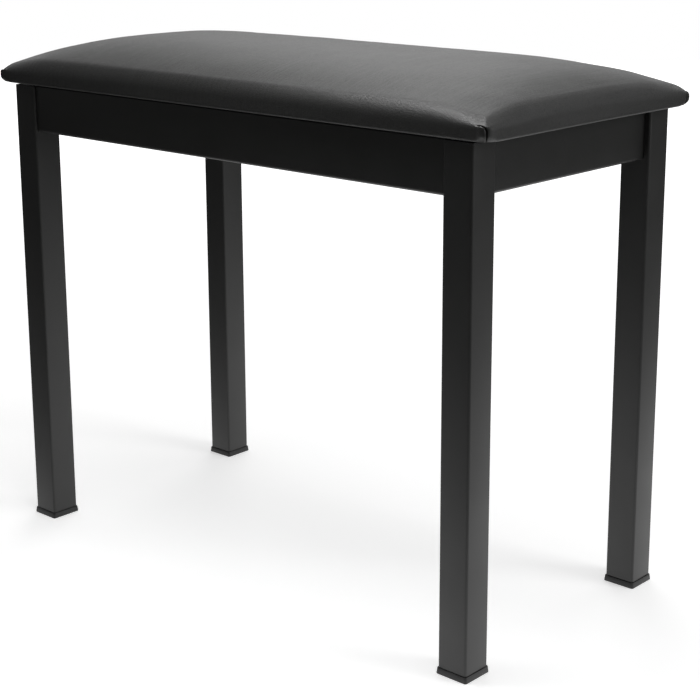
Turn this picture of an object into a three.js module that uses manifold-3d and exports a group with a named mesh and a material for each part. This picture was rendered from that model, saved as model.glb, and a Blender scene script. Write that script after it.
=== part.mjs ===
// Knock-down keyboard bench: a padded seat on a frame of four steel aprons, and four square
// tube legs, each drawn into a corner of the frame by a stud, a washer and a wing nut.
// Millimetres, +X along the length, +Y to the back, +Z up, origin on the floor at the centre.
import * as THREE from "three";
import { mergeVertices } from "three/addons/utils/BufferGeometryUtils.js";
import Module from "manifold-3d";

// Legs
const legSpanX = 580; // over the legs' outer faces, along the length
const legSpanY = 284;
const legSide = 30;
const tubeWall = 1.5;
const tubeCorner = 2;
const plugFlange = 1.5;
const plugDepth = 10;
const insertWall = 2;
const capFlange = 6;
const capProud = 1.4;
const capTaper = 0.6; // how much narrower the foot cap is at its top than at the floor
const capDepth = 18;
const legHeadroom = 1.3; // from the leg's top plug up to the frame's top

// Aprons, each a folded steel channel
const frameTop = 457;
const apronHeight = 47;
const apronFlange = 14;
const apronWall = 1.5;
const apronBend = 3;
const longSetBack = 2.5; // front and back aprons, in from the legs' outer faces
const shortSetBack = 6;

// Corner brackets
const bracketGap = 8; // from the leg's inner edge to the bracket's plate
const bracketWall = 2;
const bracketMargin = 2.5; // between the bracket and each flange of the aprons
const bracketFlange = 18;

// Studs, anchors, washers and wing nuts
const studRadius = 2.9;
const studReach = 28; // from the leg's inner edge to the stud's tip
const studRise = 14; // from the aprons' lower edge up to the stud
const studHeadRadius = 5.8;
const studHeadHeight = 5;
const anchorDepth = 11;
const anchorTip = 1;
const anchorHeight = 22;
const washerRadius = 7;
const washerThickness = 1.2;
const nutHeight = 8;
const nutBaseRadius = 6.5;
const nutTopRadius = 5;
const wingReach = 14;
const wingTipRadius = 3.6;
const wingThickness = 2.6;
const wingRise = 5; // how far the wing tips' centres stand past the hub's middle

// Seat
const seatOverhangX = 18;
const seatOverhangY = 5;
const seatCorner = 7;
const rimHeight = 22;
const rimRound = 10;
const crownRise = 24;
const sidePull = 2; // how far the rim draws in between the corners
const cornerDrop = 6; // how much lower the rim's top edge stands at the corners
const dropReach = 60; // how far from a corner that begins
const coverThickness = 1;
const boardThickness = 9;
const boardInset = 2.5; // the board's edge, in from the outside of the cover
const dustMargin = 2; // from the aprons' flanges in to the dust cover
const dustLap = 5; // how far the dust cover laps over the cover's turned-under edge
const dustThickness = 0.5;
const screwRadius = 1.9;
const screwHeadRadius = 4.2;
const screwHeadHeight = 2.4;
const screwLength = 11.5;
const longScrewSpread = 150;
const shortScrewSpread = 28;
const screwFromEdge = 5.5; // in from the flange's free edge

// Clearances
const fitGap = 0.3;
const boreGap = 0.35;
const overrun = 5; // how far cutters run past what they cut

// Counts
const roundSteps = 16;
const cornerSteps = 3;
const longSteps = 10;
const shortSteps = 6;
const crownRings = 5;
const headSides = 6;

// Shares
const crownPowerXShare = 7; // how flat the crown is along the seat before it falls
const crownPowerYShare = 2.7;
const halfShare = 0.5;
const headFlatShare = 0.6; // the flat on a seat screw's head

const wasm = await Module();
wasm.setup();

// A closed geometry as a solid that can be cut and joined.
function solidOf(geometry) {
  const bare = geometry.clone();
  bare.deleteAttribute("normal");
  bare.deleteAttribute("uv");
  const merged = mergeVertices(bare);
  const vertProperties = new Float32Array(merged.attributes.position.array);
  const triVerts = new Uint32Array(merged.index.array);
  return new wasm.Manifold(new wasm.Mesh({ numProp: 3, vertProperties, triVerts }));
}

// A solid back as a geometry.
function geometryOf(solid) {
  const mesh = solid.getMesh();
  const geometry = new THREE.BufferGeometry();
  geometry.setAttribute("position", new THREE.BufferAttribute(mesh.vertProperties, mesh.numProp));
  geometry.setIndex(new THREE.BufferAttribute(mesh.triVerts, 1));
  geometry.computeVertexNormals();
  return geometry;
}

function cut(geometry, cutters) {
  let solid = solidOf(geometry);
  for (const cutter of cutters) {
    solid = solid.subtract(solidOf(cutter));
  }
  return geometryOf(solid);
}

function join(geometries) {
  let solid = solidOf(geometries[0]);
  for (const geometry of geometries.slice(1)) {
    solid = solid.add(solidOf(geometry));
  }
  return geometryOf(solid);
}

// A rectangle with round corners, centred, drawn on a shape or a path.
function roundedRectangle(outline, halfX, halfY, radius) {
  const x = halfX - radius;
  const y = halfY - radius;
  outline.absarc(x, y, radius, 0, Math.PI / 2);
  outline.absarc(-x, y, radius, Math.PI / 2, Math.PI);
  outline.absarc(-x, -y, radius, Math.PI, Math.PI * 1.5);
  outline.absarc(x, -y, radius, Math.PI * 1.5, Math.PI * 2);
  outline.closePath();
  return outline;
}

function extruded(shape, depth, curveSegments = cornerSteps) {
  return new THREE.ExtrudeGeometry(shape, { depth, bevelEnabled: false, curveSegments });
}

// A slab with round corners, centred in plan, standing on z.
function slab(halfX, halfY, radius, thickness, z) {
  const shape = roundedRectangle(new THREE.Shape(), halfX, halfY, radius);
  return extruded(shape, thickness).translate(0, 0, z);
}

// A round bar along X, from one place to another.
function barAlongX(radius, from, to, steps = roundSteps) {
  const bar = new THREE.CylinderGeometry(radius, radius, to - from, steps);
  bar.rotateZ(-Math.PI / 2);
  return bar.translate((from + to) / 2, 0, 0);
}

// A round bar along Z.
function barAlongZ(radius, from, to, steps = roundSteps) {
  const bar = new THREE.CylinderGeometry(radius, radius, to - from, steps);
  bar.rotateX(Math.PI / 2);
  return bar.translate(0, 0, (from + to) / 2);
}

function material(color, roughness, metalness) {
  return new THREE.MeshStandardMaterial({ color, roughness, metalness });
}

function named(name, geometry, look) {
  const mesh = new THREE.Mesh(geometry, look);
  mesh.name = name;
  return mesh;
}

const paintedSteel = () => material(0x1c1c1e, 0.5, 0.3);
const blackPlastic = () => material(0x141414, 0.6, 0);
const zincSteel = () => material(0xb4b6b8, 0.35, 0.9);
const blackVinyl = () => material(0x161617, 0.42, 0);
const seatFoam = () => material(0xd9cfa8, 0.95, 0);
const pressedBoard = () => material(0x9c7a52, 0.85, 0);
const blackCloth = () => material(0x101010, 0.95, 0);

const bench = new THREE.Group();

// Aprons. In its own frame an apron runs along X, with Y inward from its outer face.
function channelShape() {
  const inner = apronBend - apronWall;
  const shape = new THREE.Shape();
  shape.moveTo(apronFlange, 0);
  shape.lineTo(apronFlange, apronWall);
  shape.lineTo(apronBend, apronWall);
  shape.absarc(apronBend, apronBend, inner, Math.PI * 1.5, Math.PI, true);
  shape.lineTo(apronWall, apronHeight - apronBend);
  shape.absarc(apronBend, apronHeight - apronBend, inner, Math.PI, Math.PI / 2, true);
  shape.lineTo(apronFlange, apronHeight - apronWall);
  shape.lineTo(apronFlange, apronHeight);
  shape.lineTo(apronBend, apronHeight);
  shape.absarc(apronBend, apronHeight - apronBend, apronBend, Math.PI / 2, Math.PI);
  shape.lineTo(0, apronBend);
  shape.absarc(apronBend, apronBend, apronBend, Math.PI, Math.PI * 1.5);
  shape.closePath();
  return shape;
}

const sides = [
  { name: "front", turn: 0, span: legSpanX, across: legSpanY, setBack: longSetBack },
  { name: "right", turn: Math.PI / 2, span: legSpanY, across: legSpanX, setBack: shortSetBack },
  { name: "back", turn: Math.PI, span: legSpanX, across: legSpanY, setBack: longSetBack },
  { name: "left", turn: -Math.PI / 2, span: legSpanY, across: legSpanX, setBack: shortSetBack },
];

const seatScrews = [];
for (const side of sides) {
  const frame = new THREE.Group();
  frame.rotation.z = side.turn;
  const outerY = -(side.across / 2 - side.setBack);
  const length = side.span - 2 * legSide - 2 * fitGap;
  const spread = side.span === legSpanX ? longScrewSpread : shortScrewSpread;
  const screwY = apronFlange - screwFromEdge;
  const holes = [-spread, spread].map((x) =>
    barAlongZ(screwRadius + fitGap, apronHeight - apronWall - overrun, apronHeight + overrun)
      .translate(x, screwY, 0),
  );
  const channel = extruded(channelShape(), length);
  channel.rotateX(Math.PI / 2);
  channel.rotateZ(Math.PI / 2);
  channel.translate(-length / 2, 0, 0);
  const apron = named(`${side.name}_apron`, cut(channel, holes), paintedSteel());
  apron.position.set(0, outerY, frameTop - apronHeight);
  frame.add(apron);
  for (const [end, x] of [[1, -spread], [2, spread]]) {
    const flangeUnder = frameTop - apronWall - fitGap;
    const profile = [
      new THREE.Vector2(0, -screwHeadHeight),
      new THREE.Vector2(screwHeadRadius * headFlatShare, -screwHeadHeight),
      new THREE.Vector2(screwHeadRadius, -screwHeadHeight * halfShare),
      new THREE.Vector2(screwHeadRadius, 0),
      new THREE.Vector2(screwRadius, 0),
      new THREE.Vector2(screwRadius, screwLength - screwRadius),
      new THREE.Vector2(0, screwLength),
    ];
    const screw = new THREE.LatheGeometry(profile, roundSteps);
    screw.rotateX(Math.PI / 2);
    const mesh = named(`${side.name}_seat_screw_${end}`, screw, zincSteel());
    mesh.position.set(x, outerY + screwY, flangeUnder);
    frame.add(mesh);
    seatScrews.push(mesh);
  }
  bench.add(frame);
}
bench.updateMatrixWorld(true);

// Where each seat screw stands, for the holes in the cover's turned-under edge and the board.
const screwHoles = seatScrews.map((screw) => {
  const at = screw.getWorldPosition(new THREE.Vector3());
  return barAlongZ(screwRadius + fitGap, at.z, at.z + screwLength + fitGap).translate(at.x, at.y, 0);
});

// Seat. Its shape is a stack of closed rings from the lower edge, up the rim and over the crown.
const seatUnder = frameTop + fitGap;
const seatHalfX = legSpanX / 2 + seatOverhangX;
const seatHalfY = legSpanY / 2 + seatOverhangY;

// Points of the seat's outline, drawn in by a distance, and scaled about the centre.
function seatRing(inset, scaleShare, pull) {
  const halfX = seatHalfX - inset;
  const halfY = seatHalfY - inset;
  const radius = Math.max(seatCorner - inset, fitGap);
  const points = [];
  const corners = [[1, -1, -Math.PI / 2], [1, 1, 0], [-1, 1, Math.PI / 2], [-1, -1, Math.PI]];
  corners.forEach(([sx, sy, start], index) => {
    for (let i = 0; i <= cornerSteps; i += 1) {
      const angle = start + (i / cornerSteps) * (Math.PI / 2);
      const x = sx * (halfX - radius) + radius * Math.cos(angle);
      const y = sy * (halfY - radius) + radius * Math.sin(angle);
      points.push([x, y]);
    }
    const steps = index % 2 === 0 ? shortSteps : longSteps;
    const [nextX, nextY, nextStart] = corners[(index + 1) % 4];
    const from = points[points.length - 1];
    const toX = nextX * (halfX - radius) + radius * Math.cos(nextStart);
    const toY = nextY * (halfY - radius) + radius * Math.sin(nextStart);
    for (let i = 1; i < steps; i += 1) {
      const share = i / steps;
      const inward = pull * Math.sin(Math.PI * share) ** 2;
      const x = from[0] + (toX - from[0]) * share;
      const y = from[1] + (toY - from[1]) * share;
      const onEnd = index % 2 === 0;
      points.push([onEnd ? x - Math.sign(x) * inward : x, onEnd ? y : y - Math.sign(y) * inward]);
    }
  });
  return points.map(([x, y]) => [x * scaleShare, y * scaleShare]);
}

function crownAt(x, y) {
  const alongX = 1 - Math.min(Math.abs(x) / seatHalfX, 1) ** crownPowerXShare;
  const alongY = 1 - Math.min(Math.abs(y) / seatHalfY, 1) ** crownPowerYShare;
  return crownRise * alongX * alongY;
}

// How far the top is drawn down near a corner.
function dropAt(x, y) {
  const away = Math.hypot(seatHalfX - Math.abs(x), seatHalfY - Math.abs(y));
  return cornerDrop * Math.max(1 - away / dropReach, 0) ** 2;
}

// The closed solid inside the seat's outer surface by a margin, from a floor upward.
function seatSolid(margin, floor) {
  const rings = [];
  const shoulder = seatUnder + rimHeight - rimRound;
  for (const z of [floor, shoulder]) {
    const pull = (sidePull * halfShare * (z - seatUnder)) / (shoulder - seatUnder);
    rings.push(seatRing(margin, 1, pull).map(([x, y]) => [x, y, z]));
  }
  for (let i = 1; i <= cornerSteps; i += 1) {
    const angle = (i / cornerSteps) * (Math.PI / 2);
    const inset = margin + (rimRound - margin) * (1 - Math.cos(angle));
    const up = Math.sin(angle);
    const rise = (rimRound - margin) * up;
    const ring = seatRing(inset, 1, sidePull);
    rings.push(ring.map(([x, y]) => [x, y, shoulder + rise + crownAt(x, y) - dropAt(x, y) * up]));
  }
  for (let i = 1; i <= crownRings; i += 1) {
    const scaleShare = Math.cos((i / (crownRings + 1)) * (Math.PI / 2));
    const ring = seatRing(rimRound, scaleShare, sidePull * scaleShare);
    const top = shoulder + rimRound - margin;
    rings.push(ring.map(([x, y]) => [x, y, top + crownAt(x, y) - dropAt(x, y)]));
  }
  const count = rings[0].length;
  const positions = rings.flat(2);
  positions.push(0, 0, floor, 0, 0, shoulder + rimRound - margin + crownRise);
  const bottomCentre = rings.length * count;
  const topCentre = bottomCentre + 1;
  const index = [];
  for (let i = 0; i < count; i += 1) {
    const next = (i + 1) % count;
    index.push(bottomCentre, next, i);
    for (let ring = 0; ring + 1 < rings.length; ring += 1) {
      const low = ring * count;
      const high = low + count;
      index.push(low + i, low + next, high + next, low + i, high + next, high + i);
    }
    const last = (rings.length - 1) * count;
    index.push(last + i, last + next, topCentre);
  }
  const geometry = new THREE.BufferGeometry();
  geometry.setAttribute("position", new THREE.Float32BufferAttribute(positions, 3));
  geometry.setIndex(index);
  return geometry;
}

const boardUnder = seatUnder + coverThickness + fitGap;
const boardTop = boardUnder + boardThickness;
const dustHalfX = legSpanX / 2 - shortSetBack - apronFlange - dustMargin;
const dustHalfY = legSpanY / 2 - longSetBack - apronFlange - dustMargin;
const windowX = dustHalfX - dustLap;
const windowY = dustHalfY - dustLap;
const window = slab(windowX, windowY, seatCorner, overrun, seatUnder - overrun / 2);
const coverCuts = [seatSolid(coverThickness, seatUnder + coverThickness), window, ...screwHoles];
bench.add(named("seat_cover", cut(seatSolid(0, seatUnder), coverCuts), blackVinyl()));
bench.add(named("seat_foam", seatSolid(coverThickness + fitGap, boardTop + fitGap), seatFoam()));
const board = slab(
  seatHalfX - boardInset - sidePull,
  seatHalfY - boardInset - sidePull,
  seatCorner,
  boardThickness,
  boardUnder,
);
bench.add(named("seat_board", cut(board, screwHoles), pressedBoard()));
const dustUnder = seatUnder - fitGap - dustThickness;
const dust = slab(dustHalfX, dustHalfY, seatCorner, dustThickness, dustUnder);
bench.add(named("dust_cover", dust, blackCloth()));

// The four corners, each with its leg and the fixing that draws the leg in.
const corners = [
  { name: "front_left", sx: -1, sy: -1 },
  { name: "front_right", sx: 1, sy: -1 },
  { name: "back_right", sx: 1, sy: 1 },
  { name: "back_left", sx: -1, sy: 1 },
];
const studHeight = frameTop - apronHeight + studRise;
const bracketHeight = apronHeight - 2 * (apronWall + bracketMargin);
const legTop = frameTop - legHeadroom;
const tubeTop = legTop - plugFlange;
const tubeInside = legSide / 2 - tubeWall;
const innerCorner = Math.max(tubeCorner - tubeWall, fitGap);
const insertHalf = tubeInside - fitGap;

// A hollow square insert that fits the tube, between two heights.
function tubeInsert(from, to) {
  const shape = roundedRectangle(new THREE.Shape(), insertHalf, insertHalf, innerCorner);
  const inside = insertHalf - insertWall;
  shape.holes.push(roundedRectangle(new THREE.Path(), inside, inside, innerCorner));
  return extruded(shape, to - from).translate(0, 0, from);
}

function legTube() {
  const half = legSide / 2;
  const shape = roundedRectangle(new THREE.Shape(), half, half, tubeCorner);
  shape.holes.push(roundedRectangle(new THREE.Path(), tubeInside, tubeInside, innerCorner));
  return extruded(shape, tubeTop - capFlange).translate(0, 0, capFlange);
}

// The foot cap: a tapered flange under the tube, and a hollow insert that goes up inside it.
function footCap() {
  const half = legSide / 2 + capProud;
  const flange = slab(half, half, tubeCorner, capFlange - fitGap, 0);
  const place = flange.attributes.position;
  for (let i = 0; i < place.count; i += 1) {
    const share = 1 - (capTaper / half) * (place.getZ(i) / capFlange);
    place.setX(i, place.getX(i) * share);
    place.setY(i, place.getY(i) * share);
  }
  return join([flange, tubeInsert(capFlange - fitGap - insertWall, capFlange + capDepth)]);
}

function topPlug() {
  const half = legSide / 2;
  const flange = slab(half, half, tubeCorner, plugFlange - fitGap, tubeTop + fitGap);
  return join([flange, tubeInsert(tubeTop - plugDepth, tubeTop + plugFlange / 2 + fitGap)]);
}

// The bracket's plan: a plate across the corner, with an end bent back along each apron.
function bracket(reachLeft, reachRight) {
  const root = Math.SQRT2;
  const back = bracketGap + bracketWall;
  const flangeRun = bracketFlange / root;
  const thick = bracketWall / root;
  const half = (reach, side) => {
    const bend = (reach - fitGap) * root + bracketGap;
    const inside = bend + bracketWall - bracketWall * root;
    return [
      [bracketGap, side * bend],
      [bracketGap + flangeRun, side * (bend + flangeRun)],
      [bracketGap + flangeRun + thick, side * (bend + flangeRun - thick)],
      [back, side * inside],
    ];
  };
  const outline = [...half(reachLeft, 1), ...half(reachRight, -1).reverse()];
  const shape = new THREE.Shape(outline.map(([x, y]) => new THREE.Vector2(x, y)));
  const middle = frameTop - apronHeight / 2 - studHeight;
  const plate = extruded(shape, bracketHeight).translate(0, 0, middle - bracketHeight / 2);
  return cut(plate, [barAlongX(studRadius + fitGap, bracketGap - overrun, back + overrun)]);
}

// The anchor: a wedge in the tube's inner corner, with the stud's head on its flat face.
const anchorFront = -(tubeWall + fitGap) * Math.SQRT2;
const anchorBack = anchorFront - anchorDepth;
function studAnchor() {
  const shape = new THREE.Shape();
  shape.moveTo(anchorFront - anchorTip, -anchorTip);
  shape.lineTo(anchorFront - anchorTip, anchorTip);
  shape.lineTo(anchorBack, anchorDepth);
  shape.lineTo(anchorBack, -anchorDepth);
  shape.closePath();
  const wedge = extruded(shape, anchorHeight).translate(0, 0, -anchorHeight / 2);
  return cut(wedge, [barAlongX(studRadius + fitGap, anchorBack - overrun, overrun)]);
}

function legStud() {
  const headFrom = anchorBack - fitGap - studHeadHeight;
  const head = barAlongX(studHeadRadius, headFrom, anchorBack - fitGap, headSides);
  return join([head, barAlongX(studRadius, headFrom + studHeadHeight / 2, studReach)]);
}

const washerFrom = bracketGap + bracketWall + fitGap;
const nutFrom = washerFrom + washerThickness + fitGap;
function washer() {
  const ring = barAlongX(washerRadius, washerFrom, washerFrom + washerThickness);
  return cut(ring, [barAlongX(studRadius + boreGap, 0, studReach)]);
}

function wingNut() {
  const hub = new THREE.CylinderGeometry(nutTopRadius, nutBaseRadius, nutHeight, roundSteps);
  hub.rotateZ(-Math.PI / 2);
  hub.translate(nutFrom + nutHeight / 2, 0, 0);
  const tipY = wingReach - wingTipRadius;
  const ear = new THREE.Shape();
  ear.moveTo(-nutHeight / 4, 0);
  ear.lineTo(-nutHeight / 4, nutTopRadius);
  ear.lineTo(wingRise - wingTipRadius, tipY);
  ear.absarc(wingRise, tipY, wingTipRadius, Math.PI, 0, true);
  ear.lineTo(nutHeight / 2, nutTopRadius * halfShare);
  ear.lineTo(nutHeight / 2, 0);
  ear.closePath();
  const wing = extruded(ear, wingThickness, roundSteps / 2).translate(0, 0, -wingThickness / 2);
  wing.translate(nutFrom + nutHeight / 2, 0, 0);
  const other = wing.clone().rotateX(Math.PI);
  return cut(join([hub, wing, other]), [barAlongX(studRadius + boreGap, 0, studReach)]);
}

const longReach = legSide - longSetBack - apronWall;
const shortReach = legSide - shortSetBack - apronWall;
for (const { name, sx, sy } of corners) {
  const leg = new THREE.Group();
  leg.position.set(sx * (legSpanX - legSide) / 2, sy * (legSpanY - legSide) / 2, 0);
  const edgeTurn = Math.atan2(-sy, -sx);
  const studHole = barAlongX(studRadius + fitGap, anchorBack, overrun);
  studHole.rotateZ(edgeTurn);
  studHole.translate(-sx * legSide / 2, -sy * legSide / 2, studHeight);
  leg.add(named(`${name}_leg_tube`, cut(legTube(), [studHole]), paintedSteel()));
  leg.add(named(`${name}_foot_cap`, footCap(), blackPlastic()));
  leg.add(named(`${name}_leg_plug`, topPlug(), blackPlastic()));
  bench.add(leg);

  // In this frame X runs inward along the stud from the leg's inner edge.
  const fixing = new THREE.Group();
  fixing.position.set(sx * (legSpanX / 2 - legSide), sy * (legSpanY / 2 - legSide), studHeight);
  fixing.rotation.z = edgeTurn;
  const longOnLeft = sx * sy < 0;
  const left = longOnLeft ? longReach : shortReach;
  const right = longOnLeft ? shortReach : longReach;
  fixing.add(named(`${name}_bracket`, bracket(left, right), paintedSteel()));
  fixing.add(named(`${name}_stud_anchor`, studAnchor(), zincSteel()));
  fixing.add(named(`${name}_leg_stud`, legStud(), zincSteel()));
  fixing.add(named(`${name}_washer`, washer(), zincSteel()));
  fixing.add(named(`${name}_wing_nut`, wingNut(), zincSteel()));
  bench.add(fixing);
}

export default bench;
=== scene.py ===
import math

import bmesh
import bpy
import numpy as np
from mathutils import Matrix, Vector, noise


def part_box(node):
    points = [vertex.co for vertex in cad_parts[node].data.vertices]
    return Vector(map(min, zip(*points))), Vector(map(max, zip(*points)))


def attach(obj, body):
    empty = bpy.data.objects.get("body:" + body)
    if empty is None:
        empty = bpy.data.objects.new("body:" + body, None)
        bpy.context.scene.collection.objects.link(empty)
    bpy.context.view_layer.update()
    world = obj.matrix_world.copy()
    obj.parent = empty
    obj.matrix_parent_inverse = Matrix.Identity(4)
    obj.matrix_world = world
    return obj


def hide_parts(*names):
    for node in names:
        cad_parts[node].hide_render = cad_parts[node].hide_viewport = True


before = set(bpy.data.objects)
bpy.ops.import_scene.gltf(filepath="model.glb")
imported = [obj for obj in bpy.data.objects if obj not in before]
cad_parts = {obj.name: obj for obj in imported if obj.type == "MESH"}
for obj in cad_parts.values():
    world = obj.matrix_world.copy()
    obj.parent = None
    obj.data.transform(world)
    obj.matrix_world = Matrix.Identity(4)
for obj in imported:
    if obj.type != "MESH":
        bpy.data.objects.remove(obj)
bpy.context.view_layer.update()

scene = bpy.context.scene
scene.view_settings.view_transform = "Standard"

# Camera. It stands to the right of the bench's front, a little above the seat. The small shift
# keeps the legs close to upright in the picture, as a shift lens does.


def object_with(name, data):
    """Puts an object in the scene."""
    made = bpy.data.objects.new(name, data)
    scene.collection.objects.link(made)
    return made


camera = scene.camera = object_with("camera", bpy.data.cameras.new("camera"))
camera.data.sensor_width = 36
camera.data.lens = 84.18
camera.data.shift_y = -0.1
camera.data.clip_end = 60
camera_turn = math.radians(42.224)
camera.matrix_world = (
    Matrix.Translation((1.05805, -1.12982, 0.65282))
    @ Matrix.Rotation(camera_turn, 4, "Z")
    @ Matrix.Rotation(math.radians(90 - 13.735), 4, "X")
    @ Matrix.Rotation(math.radians(-0.216), 4, "Z")
)

# Leg tubes. Each leg is a length of square steel tube with rolled corners, powder coated in black.
# A hole is drilled through its inner corner edge, near the top, for the stud.
mm = 0.001
corners = {
    "front_left": (-1, -1),
    "front_right": (1, -1),
    "back_right": (1, 1),
    "back_left": (-1, 1),
}
tube_wall = 1.5 * mm
tube_corner = 2.2 * mm
stud_hole, hole_run = 3.2 * mm, 40 * mm
edge_break = 0.25 * mm
stud_height = sum(point.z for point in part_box("front_left_leg_stud")) / 2


def add(tree, kind, inputs=None, **settings):
    """Adds a node. An input is a value, or the output of another node that is linked to it."""
    node = tree.nodes.new("ShaderNode" + kind)
    for key, value in settings.items():
        setattr(node, key, value)
    for key, value in (inputs or {}).items():
        if isinstance(value, bpy.types.NodeSocket):
            tree.links.new(value, node.inputs[key])
        else:
            node.inputs[key].default_value = value
    return node


def reckon(tree, operation, *values):
    """Works out one value from others."""
    return add(tree, "Math", dict(enumerate(values)), operation=operation).outputs[0]


def ranged(tree, value, start, end, low=0, high=1, **settings):
    """Stretches a value, so that it goes from low to high as it goes from start to end."""
    inputs = {"Value": value, "From Min": start, "From Max": end, "To Min": low, "To Max": high}
    return add(tree, "MapRange", inputs, **settings).outputs[0]


def effect(name, inputs, outputs):
    """Starts a shared effect: a group with a place and some values, which gives other values."""
    tree = bpy.data.node_groups.new(name, "ShaderNodeTree")
    tree.interface.new_socket("Place", in_out="INPUT", socket_type="NodeSocketVector")
    for label, start in inputs.items():
        socket = tree.interface.new_socket(label, in_out="INPUT", socket_type="NodeSocketFloat")
        socket.default_value = start
    for label in outputs:
        tree.interface.new_socket(label, in_out="OUTPUT", socket_type="NodeSocketFloat")
    given = tree.nodes.new("NodeGroupInput").outputs
    return tree, given, tree.nodes.new("NodeGroupOutput").inputs


def use(tree, group, inputs):
    """Places a shared effect in a material, and gives its outputs."""
    return add(tree, "Group", inputs, node_tree=group).outputs


finishes = {}


def new_finish(name, **values):
    """Starts a material, and gives its tree, its shader and the object's coordinates."""
    finish = finishes[name] = bpy.data.materials.new(name)
    finish.use_nodes = True
    tree = finish.node_tree
    shader = tree.nodes["Principled BSDF"]
    for key, value in values.items():
        shader.inputs[key.replace("_", " ")].default_value = value
    return tree, shader, add(tree, "TexCoord").outputs["Object"]


def colour_by(tree, shader, mask, low, high):
    """The base colour goes from one colour to another as the mask goes from 0 to 1."""
    mix = add(tree, "Mix", {0: mask, 6: (*low, 1), 7: (*high, 1)}, data_type="RGBA")
    tree.links.new(mix.outputs[2], shader.inputs["Base Color"])


def roughness_by(tree, shader, mask, low, high):
    """The roughness goes from one value to another as the mask goes from 0 to 1."""
    tree.links.new(ranged(tree, mask, 0, 1, low, high), shader.inputs["Roughness"])


def bump(tree, shader, height, strength, distance):
    """Raises the surface by a height from 0 to 1, in the shading only."""
    node = add(tree, "Bump", {"Height": height, "Strength": strength, "Distance": distance})
    tree.links.new(node.outputs["Normal"], shader.inputs["Normal"])


# Fine grain of a sprayed or moulded surface, with slow mottling over it.
speckle, given, made = effect("speckle", {"Size": mm}, ["Height", "Mottle"])
per_size = reckon(speckle, "DIVIDE", 1, given["Size"])
fine = add(speckle, "TexNoise", {"Vector": given["Place"], "Scale": per_size, "Detail": 2.0})
slow = add(speckle, "TexNoise", {"Vector": given["Place"], "Scale": 23.0, "Detail": 4.0})
speckle.links.new(fine.outputs["Fac"], made["Height"])
speckle.links.new(slow.outputs["Fac"], made["Mottle"])

# Edges that rub, where the coat is thinner: the shading normal turns away over the radius.
worn_edge, given, made = effect("worn_edge", {"Radius": mm}, ["Mask"])
turned = add(worn_edge, "Bevel", {"Radius": given["Radius"]}, samples=6).outputs["Normal"]
facing = add(worn_edge, "NewGeometry").outputs["Normal"]
along = add(worn_edge, "VectorMath", {0: turned, 1: facing}, operation="DOT_PRODUCT")
edge = ranged(worn_edge, along.outputs["Value"], 0.99, 0.86)
patchy = add(worn_edge, "TexNoise", {"Vector": given["Place"], "Scale": 180.0, "Detail": 3.0})
broken = ranged(worn_edge, patchy.outputs["Fac"], 0.4, 0.62)
worn_edge.links.new(reckon(worn_edge, "MULTIPLY", edge, broken), made["Mask"])

# Dust that has settled where a surface faces up.
dust, given, made = effect("dust", {}, ["Mask"])
normal = add(dust, "NewGeometry").outputs["Normal"]
up = add(dust, "SeparateXYZ", {0: normal}).outputs["Z"]
lying = ranged(dust, up, 0.55, 1)
blotch = add(dust, "TexNoise", {"Vector": given["Place"], "Scale": 60.0, "Detail": 6.0})
dust.links.new(reckon(dust, "MULTIPLY", lying, blotch.outputs["Fac"]), made["Mask"])


def grained(name, gloss, size, relief, dull, colours, marks=worn_edge, **values):
    """A finish with fine grain, slow mottling and paler marks, such as wear at the edges."""
    tree, shader, place = new_finish(name, Specular_IOR_Level=gloss)
    grain = use(tree, speckle, {"Place": place, "Size": size})
    mask = use(tree, marks, {"Place": place, **values})["Mask"]
    colour_by(tree, shader, mask, *colours)
    roughness_by(tree, shader, grain["Mottle"], *dull)
    bump(tree, shader, grain["Height"], *relief)


def powder_coat(name, colour, worn_colour, roughness):
    """Sprayed and baked black paint: fine orange peel, and a thin, paler coat at the edges."""
    dull = (roughness - 0.07, roughness + 0.07)
    colours = (colour, worn_colour)
    grained(name, 0.42, 0.9 * mm, (0.35, 0.09 * mm), dull, colours, Radius=0.9 * mm)


powder_coat("leg_paint", (0.012, 0.0121, 0.0116), (0.035, 0.035, 0.036), 0.42)


def box_mesh(low, high):
    """A block between two corners, to be cut and rounded."""
    bm = bmesh.new()
    bmesh.ops.create_cube(bm, size=1)
    bmesh.ops.scale(bm, vec=Vector(high) - Vector(low), verts=bm.verts)
    bmesh.ops.translate(bm, vec=(Vector(low) + Vector(high)) / 2, verts=bm.verts)
    return bm


def rounded(bm, edges, radius, segments):
    """Rounds some edges of a mesh."""
    bmesh.ops.bevel(
        bm, geom=edges, offset=radius, segments=segments, profile=0.5, affect="EDGES", material=-1
    )


def upright(bm):
    """The edges that run up and down."""
    def runs_up(edge):
        a, b = (v.co for v in edge.verts)
        return abs(a.z - b.z) > 0.9 * (a - b).length
    return [edge for edge in bm.edges if runs_up(edge)]


def object_of(name, bm):
    """Makes an object of a mesh."""
    mesh = bpy.data.meshes.new(name)
    bm.to_mesh(mesh)
    bm.free()
    return object_with(name, mesh)


def show(name, bm, body, slot, node=None, sharp=32, closed=True):
    """Makes a piece of a mesh, smooth but for its sharp edges, on the body that it moves with."""
    if closed:
        bmesh.ops.recalc_face_normals(bm, faces=bm.faces)
    piece = object_of(name, bm)
    piece.data.shade_smooth()
    piece.data.set_sharp_from_angle(angle=math.radians(sharp))
    piece.data.materials.append(finishes[slot])
    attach(piece, body)
    if node:
        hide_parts(node)
    return piece


def settle(piece):
    """Applies the modifiers, so that the mesh is final."""
    graph = bpy.context.evaluated_depsgraph_get()
    mesh = bpy.data.meshes.new_from_object(piece.evaluated_get(graph))
    piece.modifiers.clear()
    piece.data = mesh


def modify(piece, kind, **settings):
    """Adds a modifier."""
    modifier = piece.modifiers.new(kind.lower(), kind)
    for key, value in settings.items():
        setattr(modifier, key, value)


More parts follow.
